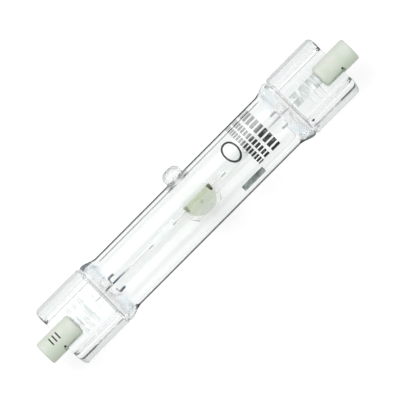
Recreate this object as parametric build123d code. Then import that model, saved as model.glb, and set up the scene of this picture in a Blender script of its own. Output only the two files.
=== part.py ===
from build123d import *
import os
from math import cos, radians, sin, sqrt

# Double-ended discharge lamp with a flat press at each end. Millimetres throughout.
# +X runs along the lamp, +Y across the flat presses on the exhaust tip's side, and +Z
# square to the presses. The origin is the middle of the lamp, on its tube's axis.

# Outer envelope: one piece of clear fused silica.
tube_diameter = 17.56
tube_wall = 1.16
tube_straight_length = 61.0
shoulder_length = 5.9
shoulder_flare = 1.57
shoulder_widest_share = 0.85
shoulder_draw_in_share = 0.25
shoulder_draw_in_start = 0.8
shoulder_section_shares = (0.3, 0.6, 0.85, 1.0)
shoulder_end_height = 4.6
cavity_end_wall = 1.0
cavity_end_height = 0.9

# Press: a web with a rail along each edge, like an H laid on its side.
press_length = 16.6
press_edge_step = 0.8
press_inner_lap = 2.0
web_thickness = 2.7
rail_height = 8.2
rail_rim_width = 1.35
rail_root_width = 3.5
rail_root_fillet = 1.3
rail_rim_fillet = 0.45
press_corner_radius = 1.7
rail_end_radius = 1.2
rib_count = 3
rib_pitch = 2.1
rib_setback = 0.9
rib_radius = 0.6
rib_rise = 0.3
rib_span = 7.6

# Exhaust tip, where the pumping tube was sealed off.
tip_angle = 30.0
tip_rise = 3.4
tip_radius = 3.3
tip_neck_radius = 2.75
tip_neck_rise = 0.6
tip_neck_fillet = 0.8
tip_foot_radius = 3.5
tip_crown_drop = 0.4
tip_crown_fillet = 1.8
tip_sink = 0.75
tip_bore_radius = 1.2
tip_bore_rise = 1.1

# Arc tube: a small thick bulb of fused silica with its own two flat presses.
arc_centre_x = 0.7
mount_offset_y = 0.5
arc_cavity_radius = 4.8
arc_cavity_straight_length = 0.8
arc_wall = 1.1
arc_press_reach = 24.25
arc_press_width = 9.0
arc_press_thickness = 2.6
arc_press_edge_radius = 0.9

# Electrodes, foils and lead wires.
electrode_reach = 1.7
rod_radius = 0.25
coil_wire_radius = 0.2
coil_wire_sides = 8
coil_layer_rise = 0.36
coil_pitch = 0.36
coil_turns = 3
coil_setback = 0.25
coil_clearance = 0.02
foil_thickness = 0.1
arc_foil_width = 2.4
arc_foil_setback = 2.2
arc_foil_end_margin = 4.95
seal_foil_width = 4.0
seal_foil_setback = 1.0
seal_foil_end_margin = 4.6
inner_lead_radius = 0.27
outer_lead_radius = 0.4
weld_overlap = 1.5
weld_flat = 0.06

# Bracket on each inner lead, a strip bent to a U.
bracket_span = 5.2
bracket_leg_length = 2.6
bracket_width = 1.3
bracket_thickness = 0.3
bracket_bend_radius = 0.5
bracket_setback = 3.5

# Getter strip and the wire that holds it.
getter_length = 7.85
getter_width = 1.7
getter_thickness = 0.25
getter_corner_radius = 0.2
getter_centre_x = 15.1
getter_angle = 18.0
getter_wall_gap = 0.17
getter_wire_radius = 0.13
getter_wire_bend = 1.5
getter_weld_length = 4.5
getter_weld_gap = 0.02

# Salt film on the arc tube's wall, and the drop of mercury.
film_thickness = 0.15
film_level = 1.2
film_rod_gap = 0.35
bead_radius = 0.5
bead_gap = 0.03

# Ceramic caps, their cement and their recessed contacts.
cap_diameter = 7.13
cap_length = 11.8
cap_overlap = 6.0
cap_rim_chamfer = 0.3
cap_jaw_fillet = 0.8
slot_run_out = 0.9
cement_gap = 0.15
cement_width = 4.6
cement_setback = 0.4
recess_radius = 2.1
recess_depth = 1.6
contact_sink = 0.1
contact_radius = 1.85
contact_seat_clearance = 0.05
contact_thickness = 0.35
contact_dome = 0.25
shank_radius = 1.1
shank_length = 2.0
shank_clearance = 0.05
shank_end_wall = 0.4
cut_overrun = 1.0

# Places that follow from the sizes above.
tube_radius = tube_diameter / 2
bore_radius = tube_radius - tube_wall
straight_end = tube_straight_length / 2
press_start = straight_end + shoulder_length
press_end = press_start + press_length
press_half_width = tube_radius + shoulder_flare - press_edge_step
rail_start = press_start - press_inner_lap
cavity_end = press_start - cavity_end_wall
cap_inner_end = press_end - cap_overlap
cap_outer_end = cap_inner_end + cap_length
slot_end = press_end + slot_run_out
recess_floor = cap_outer_end - recess_depth
contact_apex = recess_floor - contact_sink
contact_seat = contact_apex - contact_dome - contact_thickness
foil_top = weld_flat - rod_radius
inner_lead_z = foil_top + inner_lead_radius - weld_flat
outer_lead_z = foil_top + outer_lead_radius - weld_flat
arc_cavity_half_length = arc_cavity_radius + arc_cavity_straight_length / 2
electrode_tip = arc_cavity_half_length - electrode_reach
arc_foil_start = arc_cavity_half_length + arc_wall + arc_foil_setback
arc_foil_end = arc_press_reach - arc_foil_end_margin
seal_foil_start = press_start + seal_foil_setback
seal_foil_end = press_end - seal_foil_end_margin
bracket_back = press_start - bracket_setback


def cylinder_x(x_a, x_b, radius, y=0.0, z=0.0):
    """A round bar along X between two stations."""
    length = abs(x_b - x_a)
    bar = Cylinder(radius, length, align=(Align.CENTER, Align.CENTER, Align.MIN))
    return Plane.YZ.offset(min(x_a, x_b)) * Pos(y, z, 0) * bar


def block_x(x_a, x_b, width, height, y=0.0, z=0.0):
    """A block along X between two stations, centred on y and z."""
    middle = (x_a + x_b) / 2
    return Pos(middle, y, z) * Box(abs(x_b - x_a), width, height)


def ease(t):
    """Rises from 0 to 1 with level ends."""
    t = min(max(t, 0.0), 1.0)
    return t * t * (3 - 2 * t)


def shoulder(side, start_radius, flare, end_x, end_height):
    """The tube's round end, drawn out to a flat one, between the straight part and end_x."""
    sections = [Plane.YZ.offset(side * straight_end) * Circle(start_radius)]
    for t in shoulder_section_shares:
        x = straight_end + (end_x - straight_end) * t
        draw_in = ease((t - shoulder_draw_in_start) / (1 - shoulder_draw_in_start))
        widening = ease(t / shoulder_widest_share) - shoulder_draw_in_share * draw_in
        half_width = start_radius + flare * widening
        half_height = end_height / 2 + (start_radius - end_height / 2) * sqrt(1 - t ** 2)
        sections.append(Plane.YZ.offset(side * x) * Ellipse(half_width, half_height))
    return loft(sections)


def closed_tube(radius, flare, end_x, end_height):
    """Straight round tube with a shoulder at both ends, as one solid."""
    middle = cylinder_x(-straight_end, straight_end, radius)
    right = shoulder(1, radius, flare, end_x, end_height)
    left = shoulder(-1, radius, flare, end_x, end_height)
    return middle + right + left


def press_section():
    """The H of the press, square to X, with eased rims and hollow root corners."""
    rim_inner = press_half_width - rail_rim_width
    root_inner = press_half_width - rail_root_width
    half_web = web_thickness / 2
    half_rail = rail_height / 2
    same = web_thickness / 100
    corners = [(root_inner, half_web), (rim_inner, half_rail), (press_half_width, half_rail)]
    outline = corners + [(y, -z) for y, z in reversed(corners)]
    outline += [(-y, z) for y, z in reversed(outline)]
    section = make_face(Polyline(*outline, close=True))
    roots = section.vertices().filter_by(lambda v: abs(abs(v.Y) - half_web) < same)
    section = fillet(roots, rail_root_fillet)
    rims = section.vertices().filter_by(lambda v: abs(abs(v.Y) - half_rail) < same)
    return fillet(rims, rail_rim_fillet)


def press_body():
    """The right-hand press: the H run along X, with its corners rounded in plan and side."""
    length = press_end - rail_start
    middle = (press_end + rail_start) / 2
    run = extrude(Plane.YZ.offset(rail_start) * press_section(), length, dir=(1, 0, 0))
    plan = RectangleRounded(length, 2 * press_half_width, press_corner_radius)
    plan_block = Pos(middle, 0, 0) * extrude(plan, rail_height, both=True)
    side = Plane.XZ * RectangleRounded(length, rail_height, rail_end_radius)
    side_block = Pos(middle, 0, 0) * extrude(side, 2 * press_half_width, both=True)
    return run & plan_block & side_block


def press_ribs():
    """Raised bars across both faces of the right-hand web, just inside the cap."""
    centre_z = web_thickness / 2 + rib_rise - rib_radius
    ribs = Part()
    for number in range(rib_count):
        x = cap_inner_end - rib_setback - rib_pitch * number
        for face in (1, -1):
            bar = Rot(90, 0, 0) * Cylinder(rib_radius, rib_span)
            ribs += Pos(x, 0, face * centre_z) * bar
            for end in (1, -1):
                ribs += Pos(x, end * rib_span / 2, face * centre_z) * Sphere(rib_radius)
    return ribs


def exhaust_tip():
    """The sealed-off pumping tube: a rounded nub on a short neck, with a low conical crown."""
    top = tube_radius + tip_rise
    foot = tube_radius - tip_sink
    neck = (tip_neck_radius, tube_radius + tip_neck_rise)
    shoulder_corner = (tip_radius, top - tip_crown_drop)
    outline = [(0, foot), (tip_foot_radius, foot), neck, shoulder_corner, (0, top)]
    section = make_face(Polyline(*outline, close=True))
    section = fillet(section.vertices().sort_by_distance((*neck, 0))[0], tip_neck_fillet)
    section = fillet(section.vertices().sort_by_distance((*shoulder_corner, 0))[0], tip_crown_fillet)
    return Rot(tip_angle, 0, 0) * revolve(section, Axis.Y)


def tip_bore():
    """What is left of the pumping hole, open to the inside and closed by a cone."""
    start = bore_radius - tube_wall
    cone_top = tube_radius + tip_bore_rise
    cone_foot = cone_top - tip_bore_radius
    outline = Polyline(
        (0, start), (tip_bore_radius, start), (tip_bore_radius, cone_foot), (0, cone_top), close=True
    )
    return Rot(tip_angle, 0, 0) * revolve(make_face(outline), Axis.Y)


def outer_envelope(embedded):
    right_press = press_body() + press_ribs()
    glass = closed_tube(tube_radius, shoulder_flare, press_start, shoulder_end_height)
    glass += right_press
    glass += mirror(right_press, Plane.YZ)
    glass += exhaust_tip()
    glass -= closed_tube(bore_radius, shoulder_flare, cavity_end, cavity_end_height)
    glass -= tip_bore()
    for piece in embedded:
        glass -= piece
    return glass


def arc_bulb(offset):
    """The arc tube's cavity, or with an offset its outer skin: a short tube with round ends."""
    radius = arc_cavity_radius + offset
    half_straight = arc_cavity_straight_length / 2
    bulb = cylinder_x(-half_straight, half_straight, radius)
    for side in (1, -1):
        bulb += Pos(side * half_straight, 0, 0) * Rot(0, 90, 0) * Sphere(radius)
    return Pos(arc_centre_x, mount_offset_y, 0) * bulb


def arc_press_bar():
    """Both flat presses of the arc tube, as the bar that they were before the bulb stood out."""
    bar = RectangleRounded(arc_press_width, arc_press_thickness, arc_press_edge_radius)
    start = Plane.YZ.offset(arc_centre_x - arc_press_reach) * Pos(mount_offset_y, 0, 0)
    return extrude(start * bar, 2 * arc_press_reach, dir=(1, 0, 0))


def arc_tube(embedded):
    glass = arc_bulb(arc_wall) + arc_press_bar() - arc_bulb(0)
    for piece in embedded:
        glass -= piece
    return glass


def foil(x_a, x_b, width):
    """A strip of foil between two stations, at the height of the leads welded on it."""
    return block_x(x_a, x_b, width, foil_thickness, mount_offset_y, foil_top - foil_thickness / 2)


def arc_foil(side):
    return foil(arc_centre_x + side * arc_foil_start, arc_centre_x + side * arc_foil_end, arc_foil_width)


def seal_foil(side):
    return foil(side * seal_foil_start, side * seal_foil_end, seal_foil_width)


def electrode_rod(side):
    tip = arc_centre_x + side * electrode_tip
    end = arc_centre_x + side * (arc_foil_start + weld_overlap)
    return cylinder_x(tip, end, rod_radius, mount_offset_y) - arc_foil(side)


def electrode_coil(side):
    """Two close layers of wire behind the rod's tip, as a sleeve that shows the outer turns.

    The wire is an octagon in section, which is round enough at its size.
    """
    inner = rod_radius + coil_clearance
    outer_wire_centre = inner + coil_wire_radius + coil_layer_rise
    length = coil_pitch * (coil_turns - 1)
    start = electrode_tip + coil_setback + coil_wire_radius
    core_height = outer_wire_centre - inner
    section = Pos(start + length / 2, inner + core_height / 2) * Rectangle(length, core_height)
    for turn in range(coil_turns):
        wire = RegularPolygon(coil_wire_radius, coil_wire_sides)
        section += Pos(start + coil_pitch * turn, outer_wire_centre) * wire
    sleeve = revolve(section, Axis.X)
    if side < 0:
        sleeve = mirror(sleeve, Plane.YZ)
    return Pos(arc_centre_x, mount_offset_y, 0) * sleeve


def inner_lead(side):
    start = arc_centre_x + side * (arc_foil_end - weld_overlap)
    end = side * (seal_foil_start + weld_overlap)
    wire = cylinder_x(start, end, inner_lead_radius, mount_offset_y, inner_lead_z)
    return wire - arc_foil(side) - seal_foil(side)


def outer_lead(side):
    start = side * (seal_foil_end - weld_overlap)
    end = side * (contact_seat - shank_end_wall)
    return cylinder_x(start, end, outer_lead_radius, 0, outer_lead_z) - seal_foil(side)


def lead_bracket(side):
    """A strip bent to a U: its back is welded to the lead, its legs point to the middle."""
    middle = bracket_back - bracket_leg_length
    outer_bend = bracket_bend_radius + bracket_thickness
    inner_reach = bracket_leg_length - bracket_thickness
    inner_span = bracket_span - 2 * bracket_thickness
    outer = RectangleRounded(2 * bracket_leg_length, bracket_span, outer_bend)
    inner = RectangleRounded(2 * inner_reach, inner_span, bracket_bend_radius)
    loop = Pos(middle, 0, 0) * extrude(outer - inner, bracket_width / 2, both=True)
    half_space = block_x(middle, bracket_back + cut_overrun, 2 * bracket_span, 2 * bracket_width)
    strap = loop & half_space
    if side < 0:
        strap = mirror(strap, Plane.YZ)
    return strap - inner_lead(side)


def getter_frame():
    """Plane of the getter strip: its X runs along the lamp and its Y towards the tube's wall."""
    angle = radians(getter_angle)
    outward = Vector(0, -cos(angle), -sin(angle))
    facing = Vector(1, 0, 0).cross(outward)
    centre_radius = bore_radius - getter_wall_gap - getter_width / 2
    origin = Vector(getter_centre_x, 0, 0) + outward * centre_radius
    return Plane(origin=origin, x_dir=(1, 0, 0), z_dir=facing)


def getter_strip():
    strip = RectangleRounded(getter_length, getter_width, getter_corner_radius)
    return extrude(getter_frame() * strip, getter_thickness / 2, both=True)


def getter_wire():
    """Welded along the back of the getter strip, and bent square to the right bracket's leg."""
    frame = getter_frame()
    depth = getter_thickness / 2 + getter_weld_gap + getter_wire_radius
    weld_end = frame.from_local_coords((getter_length / 2 - getter_weld_length, 0, depth))
    leg_x = bracket_back - bracket_leg_length / 2
    corner = Vector(leg_x, weld_end.Y, weld_end.Z)
    leg_face = Vector(leg_x, -bracket_span / 2 - getter_weld_gap - getter_wire_radius, 0)
    route = FilletPolyline(weld_end, corner, leg_face, radius=getter_wire_bend)
    section = Plane(origin=weld_end, z_dir=(1, 0, 0)) * Circle(getter_wire_radius)
    return sweep(section, route)


def film_level_block():
    """Everything on the film's side of its level, which faces the getter's side of the lamp."""
    size = 4 * arc_cavity_half_length
    block = Pos(0, film_level - size / 2, 0) * Box(size, size, size)
    return Pos(arc_centre_x, mount_offset_y, 0) * Rot(getter_angle, 0, 0) * block


def halide_film():
    film = (arc_bulb(0) - arc_bulb(-film_thickness)) & film_level_block()
    reach = 2 * arc_cavity_half_length
    hole = rod_radius + film_rod_gap
    return film - cylinder_x(arc_centre_x - reach, arc_centre_x + reach, hole, mount_offset_y)


def mercury_bead():
    drop = arc_cavity_radius - film_thickness - bead_radius - bead_gap
    return Pos(arc_centre_x, mount_offset_y, -drop) * Sphere(bead_radius)


def cap_jaws_rounding():
    """The cap's body: a round bar with a chamfered rim and well-rounded jaw ends."""
    body = cylinder_x(cap_inner_end, cap_outer_end, cap_diameter / 2)
    rims = body.edges().filter_by(GeomType.CIRCLE).sort_by(Axis.X)
    body = fillet(rims[0], cap_jaw_fillet)
    rims = body.edges().filter_by(GeomType.CIRCLE).sort_by(Axis.X)
    return chamfer(rims[-1], cap_rim_chamfer)


def ceramic_cap():
    """The right-hand cap: a jaw each side of the web, a bore, and a recess for the contact."""
    cap = cap_jaws_rounding()
    slot_height = web_thickness + 2 * cement_gap
    cap -= block_x(cap_inner_end - cut_overrun, slot_end, 2 * cap_diameter, slot_height)
    cap -= cylinder_x(slot_end - cut_overrun, cap_outer_end, shank_radius + shank_clearance)
    cap -= cylinder_x(contact_seat, cap_outer_end, contact_radius + contact_seat_clearance)
    return cap - cylinder_x(recess_floor, cap_outer_end + cut_overrun, recess_radius)


def contact():
    """The right-hand contact: a low dome on a disc, and a shank crimped round the lead."""
    shank_start = contact_seat - shank_length
    disc_top = contact_seat + contact_thickness
    side = Polyline(
        (contact_apex, 0),
        (shank_start, 0),
        (shank_start, shank_radius),
        (contact_seat, shank_radius),
        (contact_seat, contact_radius),
        (disc_top, contact_radius),
    )
    dome = TangentArc((contact_apex, 0), (disc_top, contact_radius), tangent=(0, 1))
    return revolve(make_face([side, dome]), Axis.X) - outer_lead(1)


def cement():
    """The right-hand cement: a thin layer each side of the web, joined behind its end."""
    slot_height = web_thickness + 2 * cement_gap
    fill = block_x(cap_inner_end + cement_setback, slot_end, cement_width, slot_height)
    return fill - press_body() - outer_lead(1)


def both_ends(pieces, name, right):
    """Adds a right-hand piece, and its mirror image at the left end."""
    pieces[name + "_right"] = right
    pieces[name + "_left"] = mirror(right, Plane.YZ)


def lamp():
    pieces = {}
    for name, side in (("right", 1), ("left", -1)):
        pieces["electrode_rod_" + name] = electrode_rod(side)
        pieces["electrode_coil_" + name] = electrode_coil(side)
        pieces["arc_foil_" + name] = arc_foil(side)
        pieces["inner_lead_" + name] = inner_lead(side)
        pieces["seal_foil_" + name] = seal_foil(side)
        pieces["outer_lead_" + name] = outer_lead(side)
        pieces["lead_bracket_" + name] = lead_bracket(side)
    in_arc_press = []
    in_press = []
    for name in ("right", "left"):
        in_arc_press += [pieces[kind + name] for kind in ("electrode_rod_", "arc_foil_", "inner_lead_")]
        in_press += [pieces[kind + name] for kind in ("inner_lead_", "seal_foil_", "outer_lead_")]
    pieces["outer_envelope"] = outer_envelope(in_press)
    pieces["arc_tube"] = arc_tube(in_arc_press)
    pieces["halide_film"] = halide_film()
    pieces["mercury_bead"] = mercury_bead()
    pieces["getter_strip"] = getter_strip()
    pieces["getter_wire"] = getter_wire()
    both_ends(pieces, "ceramic_cap", ceramic_cap())
    both_ends(pieces, "contact", contact())
    both_ends(pieces, "cement", cement())
    return pieces


os.makedirs("parts", exist_ok=True)
for node, shape in lamp().items():
    export_step(shape, "parts/" + node + ".step")
    print(node, round(shape.volume, 2))
print("overall length", 2 * cap_outer_end)
print("between contacts", 2 * contact_apex)
print("press width", 2 * press_half_width)
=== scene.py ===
# %% [markdown]
# # A double-ended discharge lamp in clear fused silica
# This lesson dresses a finished construction model. The solids come in as a fixed frame,
# and each one is then given its finish, or a finer mesh that stands for it.
# The lamp is a clear tube pressed flat at both ends, with a small bulb sealed inside it.
# Nearly all of it is glass, so most of the work is in how light passes through it.

# %% Load the frame
from math import atan2, cos, pi, radians, sin, sqrt

import bmesh
import bpy
from mathutils import Matrix, Vector


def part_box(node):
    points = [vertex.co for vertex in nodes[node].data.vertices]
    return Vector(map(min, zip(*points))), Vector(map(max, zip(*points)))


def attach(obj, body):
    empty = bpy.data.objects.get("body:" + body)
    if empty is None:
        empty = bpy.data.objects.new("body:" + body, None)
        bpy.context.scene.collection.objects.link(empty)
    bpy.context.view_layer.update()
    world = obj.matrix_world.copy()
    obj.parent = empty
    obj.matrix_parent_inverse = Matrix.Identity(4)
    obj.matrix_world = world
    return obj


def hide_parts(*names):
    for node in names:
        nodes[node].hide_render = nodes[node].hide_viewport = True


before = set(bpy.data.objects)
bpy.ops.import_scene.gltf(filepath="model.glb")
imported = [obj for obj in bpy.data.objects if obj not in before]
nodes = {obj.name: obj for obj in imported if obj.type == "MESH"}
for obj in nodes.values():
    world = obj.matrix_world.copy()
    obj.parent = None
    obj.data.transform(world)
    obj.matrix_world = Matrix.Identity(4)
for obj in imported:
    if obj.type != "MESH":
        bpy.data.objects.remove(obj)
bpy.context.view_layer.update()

print("pieces in the frame:", len(nodes))

# %% [markdown]
# ## Measures
# The lamp lies along X on its round tube, and its presses are wide in Y and thin in Z.
# Two measures are read from the frame: the tube's radius is how far the envelope stands
# out in Z, and a cap's inner end is where its box begins. The rest are the sizes that a
# glass worker would gauge, in metres like everything here.

# %% Measures of the lamp
MM = 0.001
TUBE_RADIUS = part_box("outer_envelope")[1].z
TUBE_WALL = 1.16 * MM
BORE_RADIUS = TUBE_RADIUS - TUBE_WALL
STRAIGHT_END = 30.5 * MM
PRESS_START = 36.4 * MM
PRESS_END = 53.0 * MM
CAP_INNER_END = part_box("ceramic_cap_right")[0].x
print("tube diameter in mm:", round(2 * TUBE_RADIUS / MM, 2))

# %% [markdown]
# ## Camera
# The lamp was photographed from nearly straight above, turned 45 degrees in the frame.
# The camera leans 18 degrees towards the side away from the exhaust tip. Its axes are
# written out as three vectors, since a turned view is easier to state than to aim.
# It stands far off with a long lens, so hardly anything converges.

# %% Camera
LEAN = radians(18.0)
TURN = radians(45.1)
CAMERA_DISTANCE = 0.9
SENSOR = 36.0
FRAME_WIDTH = 108.9 * MM
PIXEL = FRAME_WIDTH / 400
OFF_RIGHT = 2.25 * PIXEL
OFF_UP = 1.25 * PIXEL

back = Vector((0, -sin(LEAN), cos(LEAN)))
across_lamp = Vector((0, cos(LEAN), sin(LEAN)))
along_lamp = Vector((1, 0, 0))
right = along_lamp * cos(TURN) - across_lamp * sin(TURN)
up = along_lamp * sin(TURN) + across_lamp * cos(TURN)
target = right * OFF_RIGHT + up * OFF_UP

camera_data = bpy.data.cameras.new("camera")
camera_data.sensor_width = SENSOR
camera_data.lens = SENSOR * CAMERA_DISTANCE / FRAME_WIDTH
camera = bpy.data.objects.new("camera", camera_data)
bpy.context.scene.collection.objects.link(camera)
axes = Matrix((right, up, back)).transposed()
camera.matrix_world = Matrix.Translation(target + back * CAMERA_DISTANCE) @ axes.to_4x4()
bpy.context.scene.camera = camera
bpy.context.scene.view_settings.view_transform = "Standard"
print("lens in mm:", round(camera_data.lens, 1))

# %% [markdown]
# ## Shader maths
# A finish is a set of formulas on patterns and angles. Wiring each sum by hand hides the
# formula, so one small class wraps a socket and lets plain Python operators build the
# nodes. `1 - mask` and `mask * 0.5` then read as they would on paper, `a < b` is a mask
# of ones and zeros, and `a | b` takes the larger of two masks.

# %% A socket that can be added and multiplied
def both_orders(operation):
    """A Python operator that adds one Math node, and the same with its two sides swapped."""
    def straight(socket, other):
        return socket.maths(operation, other)

    def swapped(socket, other):
        return socket.finish.node("ShaderNodeMath", {"operation": operation}, other, socket)

    return straight, swapped


class Socket:
    """An output of a node, with Python's operators on it."""

    def __init__(self, finish, output):
        self.finish = finish
        self.output = output

    def maths(self, operation, *others):
        return self.finish.node("ShaderNodeMath", {"operation": operation}, self, *others)

    __add__, __radd__ = both_orders("ADD")
    __sub__, __rsub__ = both_orders("SUBTRACT")
    __mul__, __rmul__ = both_orders("MULTIPLY")
    __truediv__, __rtruediv__ = both_orders("DIVIDE")
    __pow__, __rpow__ = both_orders("POWER")
    __lt__, __gt__ = both_orders("LESS_THAN")
    __or__, __ror__ = both_orders("MAXIMUM")

    def __abs__(self):
        return self.maths("ABSOLUTE")


print("operators:", "+ - * / ** < > | abs")

# %% [markdown]
# ## Nodes
# Every other node comes from one method, which takes the node's type, its settings and the
# values or links of its sockets. A few patterns that each finish needs are named once on
# top of it: the place on the lamp, a smooth rise, a cloudy noise, a blend and a relief.
# Places are measured in the lamp's own frame, so a pattern stays put when the view turns.

# %% A finish under construction
class Finish:
    """A material or world under construction."""

    def __init__(self, holder):
        holder.use_nodes = True
        self.holder = holder
        self.tree = holder.node_tree
        self.tree.nodes.clear()

    def node(self, kind, settings=None, *inputs, **named):
        """Makes a node, sets it up, feeds its sockets and returns the output that settings name."""
        settings = dict(settings or {})
        chosen = settings.pop("output", 0)
        made = self.tree.nodes.new(kind)
        for key, value in settings.items():
            setattr(made, key, value)
        for place, value in enumerate(inputs):
            self.feed(made.inputs[place], value)
        for name, value in named.items():
            self.feed(made.inputs[name.replace("_", " ")], value)
        return Socket(self, made.outputs[chosen]) if made.outputs else None

    def feed(self, socket, value):
        """Links a socket or sets its value. A colour is written without its alpha."""
        if isinstance(value, Socket):
            self.tree.links.new(value.output, socket)
        elif value is not None:
            socket.default_value = (*value, 1.0) if socket.type == "RGBA" else value

    def ray(self, kind):
        """1 for rays of that kind: Camera, Shadow, Diffuse, Glossy or Transmission."""
        return self.node("ShaderNodeLightPath", {"output": "Is " + kind + " Ray"})

    def place(self):
        """Where a point of the surface is, in metres on the lamp."""
        return self.node("ShaderNodeTexCoord", {"output": "Object"})

    def along_across_up(self):
        """That place along the lamp, across it as the photograph shows it, and towards the viewer."""
        x, y, z = [self.node("ShaderNodeSeparateXYZ", {"output": axis}, self.place()) for axis in "XYZ"]
        return x, y * cos(LEAN) + z * sin(LEAN), z * cos(LEAN) - y * sin(LEAN)

    def between(self, value, low, high):
        """1 where the value lies between two bounds, and 0 elsewhere."""
        return (value > low) * (value < high)

    def rising(self, value, start, end):
        """Rises smoothly from 0 at the start to 1 at the end, which may be the lower one."""
        smooth = {"interpolation_type": "SMOOTHSTEP"}
        ramp = self.node("ShaderNodeMapRange", smooth, value, min(start, end), max(start, end), 0.0, 1.0)
        return ramp if end > start else 1 - ramp

    def noise(self, scale, detail=2.0, stretch=(1.0, 1.0, 1.0)):
        """A cloudy pattern from 0 to 1, stretched along an axis where its factor is small."""
        where = self.node("ShaderNodeVectorMath", {"operation": "MULTIPLY"}, self.place(), stretch)
        return self.node("ShaderNodeTexNoise", {"output": "Fac"}, where, Scale=scale, Detail=detail)

    def blend(self, share, low, high):
        """A colour between two others. The node's sockets for numbers and vectors stay as they are."""
        others = [None] * 5
        return self.node("ShaderNodeMix", {"data_type": "RGBA", "output": 2}, share, *others, low, high)

    def mix(self, share, shader, other):
        return self.node("ShaderNodeMixShader", None, share, shader, other)

    def principled(self, **sockets):
        return self.node("ShaderNodeBsdfPrincipled", None, **sockets)

    def bump(self, height, distance):
        return self.node("ShaderNodeBump", None, Height=height, Strength=1.0, Distance=distance)

    def done(self, shader):
        """Shows the shader on the surface and returns the finished material."""
        self.node("ShaderNodeOutputMaterial", None, shader)
        return self.holder


def grey(level):
    return (level, level, level)


print("patterns: place, rising, noise, blend, bump")

# %% [markdown]
# ## White sheet
# The lamp lies on a plain white sheet. White paper lit until it looks white would also
# wash out the pale ceramic. So the sheet is part matt paper, which takes the lamp's
# shadow, and part glow that only the eye sees, directly or through glass and in metal.
# The light on the lamp itself then stays modest, and its colours stay as written.

# %% Sheet
SHEET_SIZE = 1.6
SHEET_Z = -TUBE_RADIUS
PAPER_WHITE = 0.5
GLOW_SEEN = 0.6
GLOW_IN_GLASS = 0.27


def sheet_finish():
    sheet = Finish(bpy.data.materials.new("white_sheet"))
    in_glass = sheet.ray("Glossy") + sheet.ray("Transmission")
    strength = sheet.ray("Camera") * GLOW_SEEN + in_glass * GLOW_IN_GLASS
    glow = sheet.node("ShaderNodeEmission", None, grey(1.0), strength)
    paper = sheet.node("ShaderNodeBsdfDiffuse", None, grey(PAPER_WHITE))
    return sheet.done(sheet.node("ShaderNodeAddShader", None, glow, paper))


def make_sheet():
    half = SHEET_SIZE / 2
    corners = [(x, y, SHEET_Z) for x, y in ((-half, -half), (half, -half), (half, half), (-half, half))]
    mesh = bpy.data.meshes.new("floor")
    mesh.from_pydata(corners, [], [(0, 1, 2, 3)])
    mesh.materials.append(sheet_finish())
    sheet = bpy.data.objects.new("floor", mesh)
    bpy.context.scene.collection.objects.link(sheet)


make_sheet()
print("sheet at", round(SHEET_Z / MM, 2), "mm")

# %% [markdown]
# ## Studio
# Two soft boxes light the lamp from either side. Round them the studio is darker near the
# horizon than overhead. The edges of a clear tube mirror and bend that horizon, and it is
# what draws their thin dark outline. The eye itself sees plain white there.

# %% Studio light
HORIZON_LEVEL = 0.4
OVERHEAD_LEVEL = 0.7
SKY_RISE = (0.05, 0.75)
BOX_SIZE = 0.5
KEY_PLACE, KEY_WATTS = (-0.15, 0.35, 0.5), 1.6
FILL_PLACE, FILL_WATTS = (0.3, -0.45, 0.45), 0.8


def make_sky():
    world = bpy.data.worlds.new("studio")
    bpy.context.scene.world = world
    sky = Finish(world)
    direction = sky.node("ShaderNodeTexCoord", {"output": "Generated"})
    height = sky.node("ShaderNodeSeparateXYZ", {"output": "Z"}, direction)
    around = sky.rising(height, *SKY_RISE) * (OVERHEAD_LEVEL - HORIZON_LEVEL) + HORIZON_LEVEL
    seen = sky.ray("Camera")
    background = sky.node("ShaderNodeBackground", None, grey(1.0), around * (1 - seen) + seen)
    sky.node("ShaderNodeOutputWorld", None, background)


def soft_box(name, place, watts):
    """A square area lamp that faces the middle of the glass lamp."""
    data = bpy.data.lights.new(name, "AREA")
    data.size = BOX_SIZE
    data.energy = watts
    box = bpy.data.objects.new(name, data)
    box.location = place
    box.rotation_euler = Vector(place).to_track_quat("Z", "Y").to_euler()
    bpy.context.scene.collection.objects.link(box)


make_sky()
soft_box("key", KEY_PLACE, KEY_WATTS)
soft_box("fill", FILL_PLACE, FILL_WATTS)
print("watts:", KEY_WATTS, "and", FILL_WATTS)

# %% [markdown]
# ## Clear glass
# Fused silica bends light by an index of 1.46, and drawn glass is never quite even, so a
# slow noise tilts its normals a little. A Principled shader with full transmission does
# that, but it needs help twice. Lamps and bounced light must pass through a clear wall, or
# the sheet under it goes black: for those rays the wall is Transparent, with a little
# shade left where it is seen edge-on. And a real studio has a dark room round its white
# table, which the edges of a tube mirror and bend into thin dark lines. Here that room is a
# painted reflection: a second, dark glass mixed in where the wall is seen edge-on.

# %% Glass
SILICA_INDEX = 1.46
WAVE_SCALE = 260.0
WAVE_HEIGHT = 0.012 * MM
GHOST_TINT = 0.995
EDGE_SHADE = 0.9
# Painted reflection: this dark glass stands in for the studio's dark room, mirrored in the tube's edges.
PAINTED_REFLECTION_TINT = (0.02, 0.05, 0.048)
PAINTED_REFLECTION_RISE = (0.62, 0.8)
PAINTED_WEDGE_RISE = (0.3, 0.62)


def waves(glass):
    return glass.bump(glass.noise(WAVE_SCALE, 1.0), WAVE_HEIGHT)


def bending(glass, tint, index):
    return glass.principled(
        Base_Color=tint, Roughness=0.0, IOR=index, Transmission_Weight=1.0, Normal=waves(glass)
    )


def edge_on(glass):
    """0 where the skin faces the viewer, and 1 where it is seen along itself."""
    return glass.node("ShaderNodeLayerWeight", {"output": "Facing"}, 0.5)


def letting_lamps_through(glass, wall, edge_shade, faint=0.0):
    """The wall, nearly clear for shadows and bounced light, and everywhere by a faint share."""
    edge = edge_on(glass)
    ghost = glass.node("ShaderNodeBsdfTransparent", None, grey(GHOST_TINT))
    passing = (glass.ray("Shadow") | glass.ray("Diffuse")) * (1 - edge * edge * edge_shade)
    return glass.mix(passing | faint, wall, ghost)


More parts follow.
